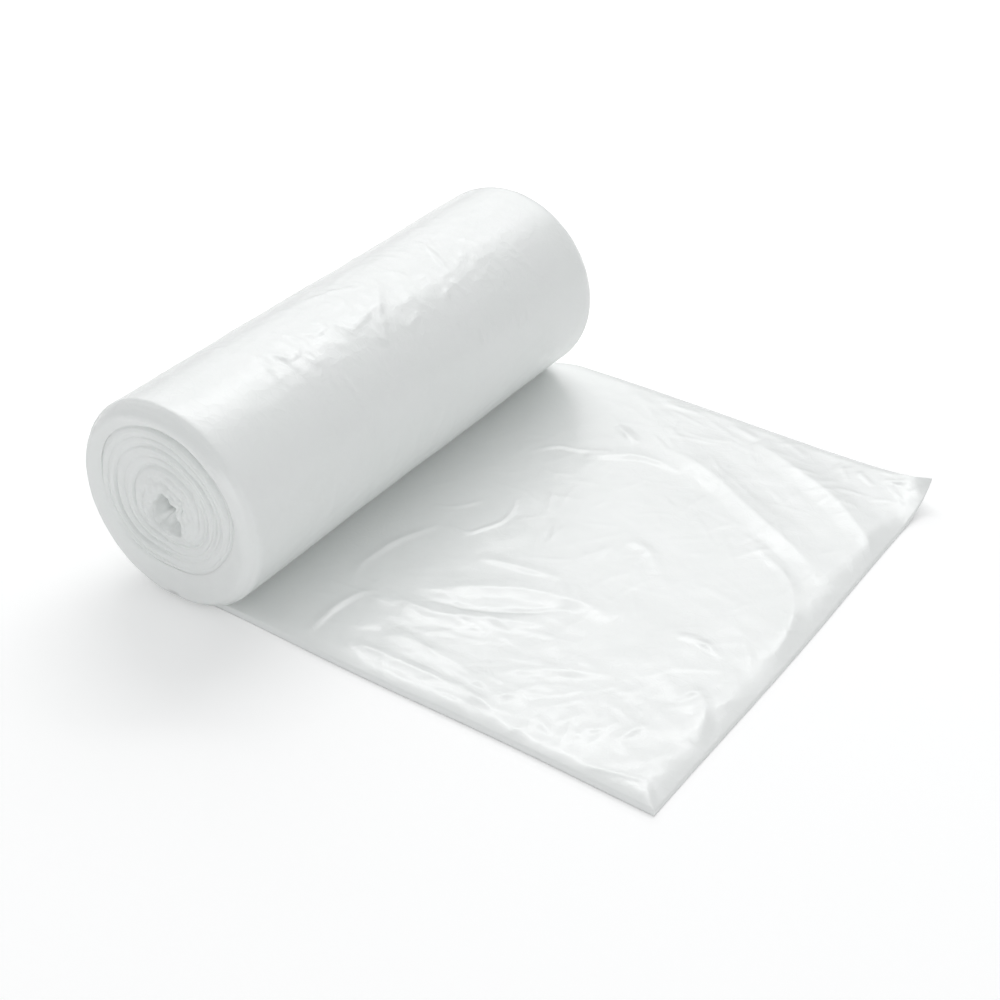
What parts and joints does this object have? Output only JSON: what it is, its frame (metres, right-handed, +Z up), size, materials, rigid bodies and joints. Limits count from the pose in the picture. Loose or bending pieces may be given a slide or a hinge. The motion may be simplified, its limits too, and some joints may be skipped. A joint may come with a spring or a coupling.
{
  "type": "bin bag roll",
  "caption": "Coreless roll of thin milky film bin bags lying on its side, with its loose end unrolled flat from underneath.",
  "frame": {"origin": "on the table under the roll's axis, halfway along the roll", "axes": "+Z up, +Y along the roll's axis, +X along the loose end, away from the roll to its free edge"},
  "size_m": [0.1985, 0.1852, 0.0675],
  "materials": {
    "film": "milky, slightly see-through thin film with a soft gloss, crinkled all over"
  },
  "bodies": {
    "root": {"bag_roll": "film"}
  },
  "joints": []
}
